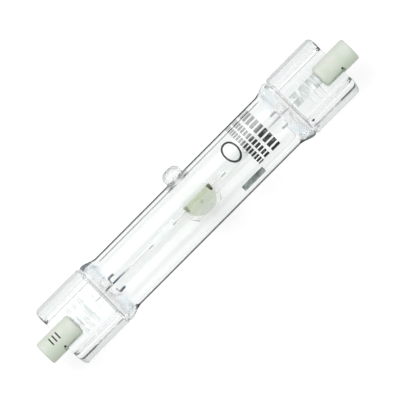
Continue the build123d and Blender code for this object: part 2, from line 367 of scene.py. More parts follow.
def envelope_glass(glass, tint, room_reflection_share, faint, wedge=0.0):
    """The envelope's silica, with a painted dark reflection mixed in by a share where it is edge-on, and
    sooner in a wedge.
    """
    edge = edge_on(glass)
    # The painted dark reflection, mixed in where the wall is seen edge-on.
    painted_reflection = glass.node(
        "ShaderNodeBsdfRefraction", None, PAINTED_REFLECTION_TINT, Roughness=0.0, IOR=SILICA_INDEX, Normal=waves(glass)
    )
    painted_reflection_share = glass.rising(edge, *PAINTED_REFLECTION_RISE) * room_reflection_share | glass.rising(edge, *PAINTED_WEDGE_RISE) * wedge
    wall = glass.mix(painted_reflection_share, bending(glass, tint, SILICA_INDEX), painted_reflection)
    return letting_lamps_through(glass, wall, EDGE_SHADE, faint)


print("index of the silica:", SILICA_INDEX)

# %% [markdown]
# ## Where the glass differs
# One tube of glass, but not one look. Its two sides draw strong lines of painted dark
# reflection, while an end view should stay clear. The presses and the exhaust tip catch
# more light. Where the tube closes, at the pinch, the glass is wrinkled and milky, with a
# blue cast towards its ends, and two of its four flaring corners hold a wedge of painted
# dark reflection. Painting these on would need a picture, so each is a zone: a product of
# smooth rises along, across or round the lamp.

# %% Zones of the envelope
# Each pair is where a zone starts and where it is full.
SIDES = (0.6 * TUBE_RADIUS, 0.75 * TUBE_RADIUS)
SHOULDER = (STRAIGHT_END + MM, STRAIGHT_END + 2.5 * MM)
STRAIGHT_BORE = (STRAIGHT_END + MM, STRAIGHT_END - MM)
FAR_SIDE = (-MM, 0.0)
TIP_RADIUS_ZONE = (TUBE_RADIUS + 0.2 * MM, TUBE_RADIUS + 0.5 * MM)
TIP_ALONG = (4.0 * MM, 3.5 * MM)
TIP_ACROSS = (6.5 * MM, 7.5 * MM)
PINCH = (31.5 * MM, 33.5 * MM)
PINCH_STOP = (PRESS_START, PRESS_START - 0.4 * MM)
PINCH_WIDTH = (8.6 * MM, 7.6 * MM)
PINCH_SIDES = (2.5 * MM, 5.0 * MM)
FLARE = (STRAIGHT_END - MM, STRAIGHT_END + 2 * MM)
FLARE_STOP = (PRESS_START, PRESS_START - MM)
FLARE_EDGE = (8.3 * MM, 9.0 * MM)
PRESS = (PRESS_START - 0.3 * MM, PRESS_START + 0.3 * MM)

# Shares of the painted dark reflection: along the sides, over the top, on the ends, and in the flare's
# wedge.
REFLECTION_ON_SIDES = 0.97
REFLECTION_ON_TOP = 0.25
REFLECTION_ON_ENDS = 0.3
PAINTED_WEDGE_SHARE = 0.8
print("pinch in mm:", [round(x / MM, 1) for x in PINCH])

# %% Masks made of the zones
def at_sides(glass):
    """How strong the painted dark reflection is: strong along the tube's two sides, weaker over its top."""
    _, across, _ = glass.along_across_up()
    return glass.rising(abs(across), *SIDES) * (REFLECTION_ON_SIDES - REFLECTION_ON_TOP) + REFLECTION_ON_TOP


def outer_painted_reflection(glass):
    """The painted dark reflection on the outer skin: strong on the round tube, and weak on the presses and
    the exhaust tip.
    """
    x, across, upward = glass.along_across_up()
    radius = (across * across + upward * upward) ** 0.5
    weak = glass.rising(abs(x), *SHOULDER) | glass.rising(radius, *TIP_RADIUS_ZONE)
    strong = at_sides(glass)
    return weak * (REFLECTION_ON_ENDS - strong) + strong


def bore_painted_reflection(glass):
    """The painted dark reflection on the bore: only on the straight bore, on the exhaust tip's side."""
    x, across, _ = glass.along_across_up()
    return glass.rising(abs(x), *STRAIGHT_BORE) * glass.rising(across, *FAR_SIDE) * at_sides(glass)


def at_pinch(glass):
    """1 where the tube closes, between its flaring edges."""
    x, across, _ = glass.along_across_up()
    along = glass.rising(abs(x), *PINCH) * glass.rising(abs(x), *PINCH_STOP)
    return along * glass.rising(abs(across), *PINCH_WIDTH)


def off_axis(glass):
    """0 along the lamp's middle, 1 towards its edges."""
    _, across, _ = glass.along_across_up()
    return glass.rising(abs(across), *PINCH_SIDES)


def at_tip(glass):
    """1 on the exhaust tip and its foot."""
    x, across, _ = glass.along_across_up()
    return glass.rising(abs(x), *TIP_ALONG) * glass.rising(across, *TIP_ACROSS)


def flare_painted_wedge(glass):
    """A wedge of painted dark reflection in two opposite corners of the four flares."""
    x, across, _ = glass.along_across_up()
    along = glass.rising(abs(x), *FLARE) * glass.rising(abs(x), *FLARE_STOP)
    return along * glass.rising(abs(across), *FLARE_EDGE) * (x * across < 0.0) * PAINTED_WEDGE_SHARE


print("masks: smoke, pinch, tip and flare")

# %% [markdown]
# ## Envelope
# The real envelope was one length of tube: its ends were heated and pinched between
# jaws, which left an H in section, with a rail along each edge of a flat web.
# It could be cut from the solid in the frame, but the metal parts leave pockets there.
# So the skin is drawn again as rings along X. Each ring has equally many points, so a
# circle can turn into a flat ellipse and then into an H without a seam.

# %% Quarter outlines and rings
QUARTER_POINTS = 44
ELLIPSE_STEPS = 60
ARC_STEPS = 12
BEND_WEIGHT = 1.1 * MM


def resampled(path, count):
    """Points along a path, closer together where it bends."""
    measure = [0.0]
    for here, there in zip(path, path[1:]):
        measure.append(measure[-1] + (there - here).length)
    headings = [atan2((b - a).y, (b - a).x) for a, b in zip(path, path[1:])]
    bent = [0.0]
    for before, after in zip(headings, headings[1:]):
        bent.append(bent[-1] + abs((after - before + pi) % (2 * pi) - pi))
    bent.append(bent[-1])
    measure = [m + BEND_WEIGHT * b for m, b in zip(measure, bent)]
    points = []
    place = 0
    for number in range(count + 1):
        wanted = measure[-1] * number / count
        while place < len(path) - 2 and measure[place + 1] < wanted:
            place += 1
        span = measure[place + 1] - measure[place]
        share = (wanted - measure[place]) / span if span else 0.0
        points.append(path[place].lerp(path[place + 1], min(max(share, 0.0), 1.0)))
    return points


def ring_from_quarter(path):
    """A whole ring from the quarter between +Y and +Z, mirrored twice."""
    quarter = resampled(path, QUARTER_POINTS)
    half = quarter + [Vector((-p.x, p.y)) for p in reversed(quarter[:-1])]
    return half + [Vector((p.x, -p.y)) for p in reversed(half[1:-1])]


def ellipse_quarter(half_width, half_height):
    angles = [pi / 2 * k / ELLIPSE_STEPS for k in range(ELLIPSE_STEPS + 1)]
    return [Vector((half_width * cos(a), half_height * sin(a))) for a in angles]


def rounded_path(corners, radii):
    """A bent line with each inner corner replaced by an arc."""
    path = [corners[0]]
    for before, corner, after, radius in zip(corners, corners[1:], corners[2:], radii):
        to_before = (before - corner).normalized()
        to_after = (after - corner).normalized()
        half_angle = to_before.angle(to_after) / 2
        centre = corner + (to_before + to_after).normalized() * (radius / sin(half_angle))
        reach = radius * cos(half_angle) / sin(half_angle)
        start = corner + to_before * reach - centre
        end = corner + to_after * reach - centre
        turn = atan2(start.cross(end), start.dot(end))
        for k in range(ARC_STEPS + 1):
            path.append(centre + Matrix.Rotation(turn * k / ARC_STEPS, 2) @ start)
    return path + [corners[-1]]


print("points in a ring:", 4 * QUARTER_POINTS)

# %% [markdown]
# ## Press and shoulder
# The jaws left each press with soft rims, a fillet where rail meets web, and corners that
# draw in at the outer end. One quarter of the H says all of it, as a line with rounded
# corners. Between the round tube and the press the glass was drawn out wide and flat, so
# there a ring is an ellipse whose height falls like a quarter circle while it widens.

# %% The press's H and the shoulder
PRESS_HALF_WIDTH = 9.55 * MM
WEB_THICKNESS = 2.7 * MM
RAIL_HEIGHT = 8.2 * MM
RIM_WIDTH = 1.35 * MM
ROOT_WIDTH = 3.5 * MM
ROOT_FILLET = 1.3 * MM
RIM_FILLET = 0.45 * MM
PLAN_CORNER = 1.7 * MM
RAIL_END_RADIUS = 1.2 * MM
SHOULDER_FLARE = 1.53 * MM
SHOULDER_END_HEIGHT = 4.6 * MM
FLARE_FULL = 0.85
FLARE_TURN = 0.8
FLARE_DRAWN_IN = 0.25


def ease(t):
    t = min(max(t, 0.0), 1.0)
    return t * t * (3 - 2 * t)


def rounding(x, end, radius):
    """How far a corner of that radius has drawn in at x."""
    into = max(x - (end - radius), 0.0)
    return radius - sqrt(max(radius * radius - into * into, 0.0))


def press_quarter(x):
    """The H at a station, smaller near the press's outer end."""
    drawn_in = rounding(x, PRESS_END, PLAN_CORNER)
    half_width = PRESS_HALF_WIDTH - drawn_in
    half_rail = RAIL_HEIGHT / 2 - rounding(x, PRESS_END, RAIL_END_RADIUS)
    half_web = WEB_THICKNESS / 2
    corners = [
        Vector((half_width, 0)),
        Vector((half_width, half_rail)),
        Vector((PRESS_HALF_WIDTH - RIM_WIDTH - drawn_in / 2, half_rail)),
        Vector((PRESS_HALF_WIDTH - ROOT_WIDTH, half_web)),
        Vector((0, half_web)),
    ]
    return rounded_path(corners, [RIM_FILLET, RIM_FILLET, ROOT_FILLET])


def shoulder_quarter(x, start_radius, end_x, end_height):
    """The tube drawn out flat between its straight part and end_x."""
    t = min(max((x - STRAIGHT_END) / (end_x - STRAIGHT_END), 0.0), 1.0)
    widening = ease(t / FLARE_FULL) - FLARE_DRAWN_IN * ease((t - FLARE_TURN) / (1 - FLARE_TURN))
    half_width = start_radius + SHOULDER_FLARE * widening
    half_height = end_height / 2 + (start_radius - end_height / 2) * sqrt(1 - t * t)
    return ellipse_quarter(half_width, half_height)


print("press length in mm:", round((PRESS_END - PRESS_START) / MM, 2))

# %% [markdown]
# ## Ribs and stations
# Three ribs cross each web beside the cap: marks of the jaws, which also stiffen it. They
# could be bars joined to the web, but a ring's points can simply be lifted where a rib
# passes. That needs rings close together there, so the stations along X are set span by
# span, each with its own number of steps.

# %% Ribs and the outer rings
RIB_COUNT = 3
RIB_PITCH = 2.1 * MM
RIB_SETBACK = 0.9 * MM
RIB_RADIUS = 0.6 * MM
RIB_RISE = 0.3 * MM
RIB_SPAN = 7.6 * MM
RIBS_START = 40.2 * MM
RIBS_END = 47.2 * MM
ENDS_ROUNDED = PRESS_END - 1.8 * MM
SHOULDER_CLOSING = PRESS_START - 1.5 * MM
JOIN_START = PRESS_START - 1.2 * MM
JOIN_END = PRESS_START + 0.5 * MM


def rib_height(x, y):
    """How far the web stands up in a rib at x, y."""
    height = 0.0
    for number in range(RIB_COUNT):
        from_rib = x - (CAP_INNER_END - RIB_SETBACK - RIB_PITCH * number)
        past_end = max(abs(y) - RIB_SPAN / 2, 0.0)
        room = RIB_RADIUS * RIB_RADIUS - from_rib * from_rib - past_end * past_end
        if room > 0:
            height = max(height, sqrt(room) - (RIB_RADIUS - RIB_RISE))
    return height


def stations(start, *spans):
    """Places along X from the start. Each span is its end and the number of steps to it."""
    places = [start]
    for end, steps in spans:
        low = places[-1]
        places += [low + (end - low) * k / steps for k in range(1, steps + 1)]
    return places


def both_ways(places):
    """Places on the right half, repeated on the left."""
    return [-x for x in reversed(places) if x > 0] + places


def outer_ring(x):
    if x <= STRAIGHT_END:
        return ring_from_quarter(ellipse_quarter(TUBE_RADIUS, TUBE_RADIUS))
    if x >= JOIN_END:
        ring = ring_from_quarter(press_quarter(x))
    else:
        ring = ring_from_quarter(shoulder_quarter(x, TUBE_RADIUS, PRESS_START, SHOULDER_END_HEIGHT))
        if x > JOIN_START:
            share = ease((x - JOIN_START) / (JOIN_END - JOIN_START))
            ring = [a.lerp(b, share) for a, b in zip(ring, ring_from_quarter(press_quarter(x)))]
    return [Vector((p.x, p.y + (rib_height(x, p.x) if p.y > 0 else -rib_height(x, p.x)))) for p in ring]


outer_places = both_ways(stations(
    0.0,
    (STRAIGHT_END, 10),
    (SHOULDER_CLOSING, 26),
    (JOIN_END, 22),
    (RIBS_START, 8),
    (RIBS_END, 64),
    (ENDS_ROUNDED, 6),
    (PRESS_END, 16),
))
print("rings in the outer skin:", len(outer_places))

# %% [markdown]
# ## Two skins
# A glass wall is two skins that face apart, and light bends at each. The bore's skin ends
# inside the pinch, where the tube closes. Both go into one mesh, because the next step
# joins the exhaust tip to it, and they are told apart by the number of their finish. The
# two materials are put on now, still blank: a Boolean forgets the numbers without them.

# %% Build the envelope
CAVITY_END = 35.4 * MM
CAVITY_CLOSING = CAVITY_END - 0.6 * MM
CAVITY_END_HEIGHT = 0.9 * MM
SHARP_ANGLE = radians(40.0)
BORE_FINISH = 1


def skin(maker, rings, inward, finish_number=0):
    """Adds a closed tube of rings to a bmesh, with a strip of faces across each end."""
    rows = [[maker.verts.new((x, p.x, p.y)) for p in ring] for x, ring in rings]
    count = len(rows[0])
    faces = []
    for low, high in zip(rows, rows[1:]):
        for k in range(count):
            n = (k + 1) % count
            faces.append((low[k], low[n], high[n], high[k]))
    for row, first in ((rows[0], True), (rows[-1], False)):
        for k in range(count // 2):
            corners = list(dict.fromkeys([row[k], row[k + 1], row[-k - 1], row[-k % count]]))
            if len(corners) > 2:
                faces.append(tuple(reversed(corners)) if first else tuple(corners))
    for face in faces:
        made = maker.faces.new(tuple(reversed(face)) if inward else face)
        made.material_index = finish_number


def object_from(maker, name, materials, replaced):
    """Turns a bmesh into a smooth piece, with its sharp corners kept, that rides on the lamp."""
    mesh = bpy.data.meshes.new(name)
    maker.normal_update()
    for edge in maker.edges:
        edge.smooth = edge.calc_face_angle(0.0) < SHARP_ANGLE
    maker.to_mesh(mesh)
    maker.free()
    for material in materials:
        mesh.materials.append(material)
    piece = bpy.data.objects.new(name, mesh)
    bpy.context.scene.collection.objects.link(piece)
    for polygon in mesh.polygons:
        polygon.use_smooth = True
    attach(piece, "root")
    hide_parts(replaced)
    return piece


def inner_ring(x):
    return ring_from_quarter(shoulder_quarter(x, BORE_RADIUS, CAVITY_END, CAVITY_END_HEIGHT))


def build_envelope():
    maker = bmesh.new()
    skin(maker, [(x, outer_ring(abs(x))) for x in outer_places], inward=False)
    inner_places = both_ways(stations(0.0, (STRAIGHT_END, 10), (CAVITY_CLOSING, 24), (CAVITY_END, 14)))
    skin(maker, [(x, inner_ring(abs(x))) for x in inner_places], inward=True, finish_number=BORE_FINISH)
    blanks = [bpy.data.materials.new(name) for name in ("printed_glass", "bore_glass")]
    return object_from(maker, "clear_envelope", blanks, "outer_envelope")


envelope = build_envelope()
print("envelope faces:", len(envelope.data.polygons))

# %% [markdown]
# ## Exhaust tip
# The air was pumped out through a thin side tube, which was then melted off close to the
# wall. That left a rounded nub with a short conical hollow under it. A nub could simply be
# pushed through the wall, but two glass skins inside each other refract wrongly, so the
# nub is turned like a lathe part and joined to the wall with an exact Boolean, and its
# hollow is cut out with another.

# %% A turned part
TIP_ANGLE = radians(30.0)
TURNED_STEPS = 72


def turned(name, outline):
    """A closed solid of revolution about the exhaust tip's axis, from (radius, height) points."""
    maker = bmesh.new()
    away = Vector((0, cos(TIP_ANGLE), sin(TIP_ANGLE)))
    beside = Vector((0, -sin(TIP_ANGLE), cos(TIP_ANGLE)))
    angles = [2 * pi * k / TURNED_STEPS for k in range(TURNED_STEPS)]
    rows = []
    for radius, height in outline:
        if radius == 0:
            rows.append([maker.verts.new(away * height)])
            continue
        spokes = [(along_lamp * cos(a) + beside * sin(a)) * radius for a in angles]
        rows.append([maker.verts.new(away * height + spoke) for spoke in spokes])
    for low, high in zip(rows, rows[1:]):
        for k in range(TURNED_STEPS):
            n = (k + 1) % TURNED_STEPS
            corners = [low[k % len(low)], low[n % len(low)], high[n % len(high)], high[k % len(high)]]
            maker.faces.new(list(dict.fromkeys(corners)))
    bmesh.ops.recalc_face_normals(maker, faces=maker.faces)
    mesh = bpy.data.meshes.new(name)
    maker.to_mesh(mesh)
    maker.free()
    return bpy.data.objects.new(name, mesh)


print("steps round a turned part:", TURNED_STEPS)

# %% Nub and hollow
TIP_FOOT_RADIUS = 3.5 * MM
TIP_FOOT_SINK = 0.75 * MM
TIP_NECK = Vector((2.75, 0.6)) * MM
TIP_NECK_FILLET = 0.8 * MM
TIP_RADIUS = 3.3 * MM
TIP_RISE = 3.39 * MM
TIP_CROWN_DROP = 0.4 * MM
TIP_CROWN_FILLET = 1.8 * MM
HOLLOW_RADIUS = 1.2 * MM
HOLLOW_RISE = 1.1 * MM


def tip_outline():
    base = Vector((0, TUBE_RADIUS))
    corners = [
        base + Vector((TIP_FOOT_RADIUS, -TIP_FOOT_SINK)),
        base + TIP_NECK,
        base + Vector((TIP_RADIUS, TIP_RISE - TIP_CROWN_DROP)),
        base + Vector((0, TIP_RISE)),
    ]
    side = rounded_path(corners, [TIP_NECK_FILLET, TIP_CROWN_FILLET])
    return [(0, side[0].y)] + [(p.x, p.y) for p in side]


def hollow_outline():
    foot = BORE_RADIUS - TUBE_WALL
    top = TUBE_RADIUS + HOLLOW_RISE
    return [(0, foot), (HOLLOW_RADIUS, foot), (HOLLOW_RADIUS, top - HOLLOW_RADIUS), (0, top)]


def joined(piece, tool, operation):
    """Applies an exact Boolean and deletes the tool."""
    bpy.context.scene.collection.objects.link(tool)
    cut = piece.modifiers.new(operation.lower(), "BOOLEAN")
    cut.operation = operation
    cut.solver = "EXACT"
    cut.object = tool
    bpy.context.view_layer.update()
    evaluated = piece.evaluated_get(bpy.context.evaluated_depsgraph_get())
    mesh = bpy.data.meshes.new_from_object(evaluated)
    piece.modifiers.clear()
    piece.data = mesh
    bpy.data.objects.remove(tool)


joined(envelope, turned("nub", tip_outline()), "UNION")
joined(envelope, turned("hollow", hollow_outline()), "DIFFERENCE")
print("envelope faces with its tip:", len(envelope.data.polygons))

# %% [markdown]
# ## Arc tube
# The light is made in a small thick bulb of the same silica, blown in the middle of a
# round tube whose ends were pressed flat on their foils. Bulb and flats are one piece, so
# again one skin of rings is drawn: at each angle the skin is as far out as the bulb or the
# flat bar, whichever is more, with the corner between them softened as molten glass is.

# %% Outlines of bulb and bar
ARC_CENTRE = Vector((0.7, 0.5, 0.0)) * MM
ARC_WALL = 1.1 * MM
ARC_CAVITY_RADIUS = 4.8 * MM
ARC_CAVITY_HALF_LENGTH = 5.2 * MM
ARC_PRESS_REACH = 24.25 * MM
ARC_PRESS_WIDTH = 9.0 * MM
ARC_PRESS_THICKNESS = 2.6 * MM
ARC_PRESS_EDGE = 0.9 * MM
ARC_BLEND = 0.6 * MM
ARC_RING_POINTS = 144
ARC_ANGLES = [2 * pi * k / ARC_RING_POINTS for k in range(ARC_RING_POINTS)]


def bar_radius(angle):
    """Distance from the axis to the flat bar's skin, at an angle from +Y."""
    heading = Vector((abs(cos(angle)), abs(sin(angle))))
    half_width, half_height = ARC_PRESS_WIDTH / 2, ARC_PRESS_THICKNESS / 2
    sharp = min(half_width / heading.x if heading.x else 1.0, half_height / heading.y if heading.y else 1.0)
    corner = Vector((half_width - ARC_PRESS_EDGE, half_height - ARC_PRESS_EDGE))
    met = heading * sharp
    if met.x <= corner.x or met.y <= corner.y:
        return sharp
    along = heading.dot(corner)
    off = corner.length_squared - along * along
    return along + sqrt(max(ARC_PRESS_EDGE ** 2 - off, 0.0))


def bulb_radius(x, half_length, radius):
    """The bulb's radius: a short straight part between two round ends."""
    into_end = max(abs(x) - (half_length - radius), 0.0)
    return sqrt(max(radius * radius - into_end * into_end, 0.0))


def arc_point(angle, reach):
    return Vector((ARC_CENTRE.y + reach * cos(angle), ARC_CENTRE.z + reach * sin(angle)))


def arc_ring(bulb):
    """The outer skin where the bulb has that radius: the larger of bulb and bar, softly joined."""
    ring = []
    for angle in ARC_ANGLES:
        bar = bar_radius(angle)
        apart = abs(bulb - bar)
        softened = (ARC_BLEND - apart) ** 2 / (4 * ARC_BLEND) if apart < ARC_BLEND else 0.0
        ring.append(arc_point(angle, max(bulb, bar) + softened))
    return ring


print("points in a ring of the arc tube:", ARC_RING_POINTS)

# %% [markdown]
# ## The arc tube's glass
# The bulb and its film have two skins each, inside the envelope's two, so what is seen
# through the bulb is seen through twelve skins. Bending at each by the full index uses up
# the light's bounces, and the bulb goes dark. Its glass bends only a little instead, which
# keeps it as clear as it looks on the table, and it has no painted dark reflection of its own.

# %% Build the arc tube
ARC_TINT = (0.985, 0.99, 0.98)
ARC_INDEX = 1.02
ARC_EDGE_SHADE = 0.2
ARC_CAVITY_STEPS = 64
BULB_BELLY = 0.6


def arc_tube_finish():
    glass = Finish(bpy.data.materials.new("arc_tube_glass"))
    wall = bending(glass, ARC_TINT, ARC_INDEX)
    return glass.done(letting_lamps_through(glass, wall, ARC_EDGE_SHADE))


def build_arc_tube():
    maker = bmesh.new()
    half_length = ARC_CAVITY_HALF_LENGTH + ARC_WALL
    radius = ARC_CAVITY_RADIUS + ARC_WALL
    belly = BULB_BELLY * half_length
    places = both_ways(stations(0.0, (belly, 12), (half_length, 36), (ARC_PRESS_REACH, 12)))
    rings = [(ARC_CENTRE.x + x, arc_ring(bulb_radius(x, half_length, radius))) for x in places]
    skin(maker, rings, inward=False)
    rings = []
    for k in range(1, ARC_CAVITY_STEPS):
        x = -ARC_CAVITY_HALF_LENGTH * cos(pi * k / ARC_CAVITY_STEPS)
        reach = bulb_radius(x, ARC_CAVITY_HALF_LENGTH, ARC_CAVITY_RADIUS)
        rings.append((ARC_CENTRE.x + x, [arc_point(angle, reach) for angle in ARC_ANGLES]))
    skin(maker, rings, inward=True)
    return object_from(maker, "clear_arc_tube", [arc_tube_finish()], "arc_tube")


arc_tube = build_arc_tube()
print("arc tube faces:", len(arc_tube.data.polygons))

# %% [markdown]
# ## Print on the glass
# The lamp carries a small printed ring and three rows of print, fired onto the tube in
# black. A thin sheet wrapped on the tube would do, but it would float on the glass and
# refract with it. Here the print is part of the glass's own finish: the place on the tube
# is unrolled, so that a distance round the tube is a plain length, and simple inequalities
# draw the ring and the dashes. The ink is a little worn, and the rows are made paler round
# the tube's far side: a painted highlight over the ink. A dark speck, baked into the right
# press, is one more small ellipse.

# %% Print
RING_CENTRE = Vector((15.8, 3.17)) * MM
RING_HALF = Vector((2.15, 3.2)) * MM
RING_STROKE = 0.22
# Each row's start and end along the lamp and the pitch of its dashes, in mm.
ROWS = ((18.9, 20.6, 1.05), (21.2, 23.0, 1.2), (23.95, 26.9, 1.75))
ROW_START = -5.0 * MM
ROW_END = 11.4 * MM
DASH_SHARE = 0.68
# Painted highlight on the print: how much paler the rows get, and where round the tube.
PAINTED_HIGHLIGHT_FADE = 0.45
PAINTED_HIGHLIGHT_BAND = (1.0 * MM, 3.5 * MM)
INK = (0.012, 0.012, 0.014)
INK_WORN = 0.3
WEAR_SCALE = 1600.0
WEAR_RISE = (0.33, 0.42)
SPECK = Vector((37.6, -6.7)) * MM
SPECK_HALF = Vector((0.45, 0.28)) * MM


def from_ellipse(x, y, centre, half):
    """0 at an ellipse's centre and 1 on its line."""
    off_x = (x - centre.x) / half.x
    off_y = (y - centre.y) / half.y
    return (off_x * off_x + off_y * off_y) ** 0.5


def print_mask(glass):
    """1 where there is ink, or the dark speck."""
    x, across, upward = glass.along_across_up()
    around = across.maths("ARCTAN2", upward) * TUBE_RADIUS
    mask = abs(from_ellipse(x, around, RING_CENTRE, RING_HALF) - 1) < RING_STROKE / 2
    # Painted highlight: the rows are paler round the far side, where a highlight lies over the ink.
    strength = 1 - glass.rising(around, *PAINTED_HIGHLIGHT_BAND) * PAINTED_HIGHLIGHT_FADE
    for start, end, pitch in ROWS:
        dash = (around / (pitch * MM)).maths("FRACT") < DASH_SHARE
        row = glass.between(x, start * MM, end * MM) * glass.between(around, ROW_START, ROW_END)
        mask = mask + row * dash * strength
    kept = glass.rising(glass.noise(WEAR_SCALE, 4.0), *WEAR_RISE)
    speck = (from_ellipse(x, across, SPECK, SPECK_HALF) < 1.0) * (upward > 0.0)
    return mask * (kept * INK_WORN + (1 - INK_WORN)) | speck


print("rows of print:", len(ROWS))

# %% [markdown]
# ## Finish of the envelope
# The outer skin takes everything together: the tints of tube, press and pinch, the painted
# dark reflection with its wedges, the faint zones, and the print over it all. The bore takes
# only what lies inside. Only the pinch has a strong tint, because light crosses the glass
# four times or more.

# %% Dress the two skins
TUBE_TINT = (0.985, 1.0, 0.995)
PRESS_TINT = (0.93, 0.96, 0.955)
PINCH_TINT = (0.72, 0.88, 0.93)
PINCH_FAINT = 0.8
TIP_FAINT = 0.35


def printed_glass(material):
    glass = Finish(material)
    x, _, _ = glass.along_across_up()
    pinch = at_pinch(glass)
    tint = glass.blend(glass.rising(abs(x), *PRESS), TUBE_TINT, PRESS_TINT)
    tint = glass.blend(pinch * off_axis(glass), tint, PINCH_TINT)
    faint = pinch * PINCH_FAINT | at_tip(glass) * TIP_FAINT
    clear = envelope_glass(glass, tint, outer_painted_reflection(glass), faint, flare_painted_wedge(glass))
    ink = glass.principled(Base_Color=INK, Roughness=0.5)
    glass.done(glass.mix(print_mask(glass), clear, ink))


def bore_glass(material):
    glass = Finish(material)
    pinch = at_pinch(glass)
    tint = glass.blend(pinch * off_axis(glass), TUBE_TINT, PINCH_TINT)
    glass.done(envelope_glass(glass, tint, bore_painted_reflection(glass), pinch * PINCH_FAINT))


printed_glass(envelope.data.materials["printed_glass"])
bore_glass(envelope.data.materials["bore_glass"])
bore_faces = [face for face in envelope.data.polygons if face.material_index == BORE_FINISH]
print("faces with the bore's finish:", len(bore_faces))

# %% [markdown]
# ## Metal halide film
# When the lamp is cold its salts lie as a thin crust on the wall of the bulb, on the side
# that was lowest as it cooled: densest along its upper edge and fading away below. Most of
# the crust is only a stain that lets light through, so it is a pale Transparent shader,
# and chalk shows along the crest and most at its two ends. Noise makes it all patchy and
# the upper edge ragged. The frame's own solid carries it.

# %% Film of salts
FILM_TOP = 1.68 * MM
FILM_BOTTOM = -5.5 * MM
FILM_LEFT = -4.3 * MM
FILM_RIGHT = 5.6 * MM
FILM_SIDE_FADE = 0.3 * MM
FILM_EDGE = (FILM_TOP - 0.1 * MM, FILM_TOP - 0.4 * MM)
FILM_CREST = (FILM_TOP - 1.7 * MM, FILM_TOP - 1.2 * MM)
FILM_ENDS = (3.6 * MM, 4.7 * MM)
RAGGED = 0.9 * MM
RAGGED_SCALE = 1100.0
PATCH_SCALE = 700.0
PATCH_SPREAD = 0.8
CHALK_SCALE = 1500.0
STAIN = (0.98, 0.999, 0.94)
STAIN_THIN = 0.15
CHALK_ON_CREST = 0.05
CHALK_AT_ENDS = 0.22
CHALK_DARK = (0.3, 0.36, 0.12)
CHALK_PALE = (0.5, 0.58, 0.28)


def dress(name, material):
    """Gives a solid of the frame its finish."""
    nodes[name].data.materials.clear()
    nodes[name].data.materials.append(material)


def salt_finish():
    film = Finish(bpy.data.materials.new("halide_film"))
    x, across, _ = film.along_across_up()
    level = across + (film.noise(RAGGED_SCALE, 3.0) - 0.5) * RAGGED
    sides = film.rising(x, FILM_LEFT, FILM_LEFT + FILM_SIDE_FADE)
    sides = sides * film.rising(x, FILM_RIGHT, FILM_RIGHT - FILM_SIDE_FADE)
    patches = film.noise(PATCH_SCALE, 5.0) * PATCH_SPREAD + (1 - PATCH_SPREAD / 2)
    patches = patches * film.rising(level, *FILM_EDGE) * sides
    stained = (film.rising(across, FILM_BOTTOM, FILM_TOP) * (1 - STAIN_THIN) + STAIN_THIN) * patches
    ends = film.rising(abs(x - (FILM_LEFT + FILM_RIGHT) / 2), *FILM_ENDS)
    chalky = film.rising(level, *FILM_CREST) * (ends * CHALK_AT_ENDS + CHALK_ON_CREST) * patches
    colour = film.blend(film.noise(CHALK_SCALE, 3.0), CHALK_DARK, CHALK_PALE)
    chalk = film.principled(Base_Color=colour, Roughness=0.9)
    clear = film.node("ShaderNodeBsdfTransparent", None, grey(1.0))
    stain = film.node("ShaderNodeBsdfTransparent", None, STAIN)
    return film.done(film.mix(chalky, film.mix(stained, clear, stain), chalk))


dress("halide_film", salt_finish())
print("film in mm, along:", round((FILM_RIGHT - FILM_LEFT) / MM, 1))

# %% [markdown]
# ## Metals
# Each metal part is thin and its finish simple: one colour that clouds into another, and a
# gloss that clouds with it. A drawn wire or rolled foil has its clouds stretched the way
# it was worked, so the noise takes a stretch.

# %% Clouded metal
CLOUD_RISE = (0.35, 0.65)
GLOSS_SPREAD = 0.2


def metal(name, dark, bright, roughness, grain, stretch=(1.0, 1.0, 1.0), relief=0.0):
    """Metal whose colour, gloss and relief vary with one cloudy pattern."""
    finish = Finish(bpy.data.materials.new(name))
    cloud = finish.noise(grain, 4.0, stretch)
    colour = finish.blend(finish.rising(cloud, *CLOUD_RISE), dark, bright)
    gloss = cloud * GLOSS_SPREAD + (roughness - GLOSS_SPREAD / 2)
    normal = finish.bump(cloud, relief) if relief else None
    surface = finish.principled(Base_Color=colour, Metallic=1.0, Roughness=gloss, Normal=normal)
    return finish.done(surface)


print("gloss spread:", GLOSS_SPREAD)

# %% [markdown]
# ## Electrode coils
# Round the tip of each tungsten rod a wire is wound in two layers, which keeps the tip
# from melting. A spiral could be a curve with a bevel, but its ends would be flat discs
# and its thickness fixed, so the wire is swept here by hand: a ring of points follows a
# helix out and back, and each end is closed by one face. The right coil is made nearly
# black, and the left one pale.

# %% Wound wire
COIL_WIRE_RADIUS = 0.19 * MM
COIL_RING_POINTS = 12
COIL_STEPS = 22
COIL_TURNS = 2
LAYER_STEP = 1.8 * COIL_WIRE_RADIUS


def coil_path(low, high, y, z, radius):
    """A helix along X from low to high."""
    steps = COIL_TURNS * COIL_STEPS
    path = []
    for k in range(steps + 1):
        share = k / steps
        angle = 2 * pi * COIL_TURNS * share
        path.append(Vector((low + (high - low) * share, y + radius * cos(angle), z + radius * sin(angle))))
    return path


def swept(maker, path):
    """A round wire along a path."""
    angles = [2 * pi * n / COIL_RING_POINTS for n in range(COIL_RING_POINTS)]
    side = Vector((0.3, 0.8, 0.5)).normalized()
    rows = []
    for k, point in enumerate(path):
        heading = (path[min(k + 1, len(path) - 1)] - path[max(k - 1, 0)]).normalized()
        side = (side - heading * side.dot(heading)).normalized()
        third = heading.cross(side)
        spokes = [(side * cos(a) + third * sin(a)) * COIL_WIRE_RADIUS for a in angles]
        rows.append([maker.verts.new(point + spoke) for spoke in spokes])
    for low, high in zip(rows, rows[1:]):
        for k in range(COIL_RING_POINTS):
            n = (k + 1) % COIL_RING_POINTS
            maker.faces.new((low[k], low[n], high[n], high[k]))
    maker.faces.new(tuple(reversed(rows[0])))
    maker.faces.new(rows[-1])


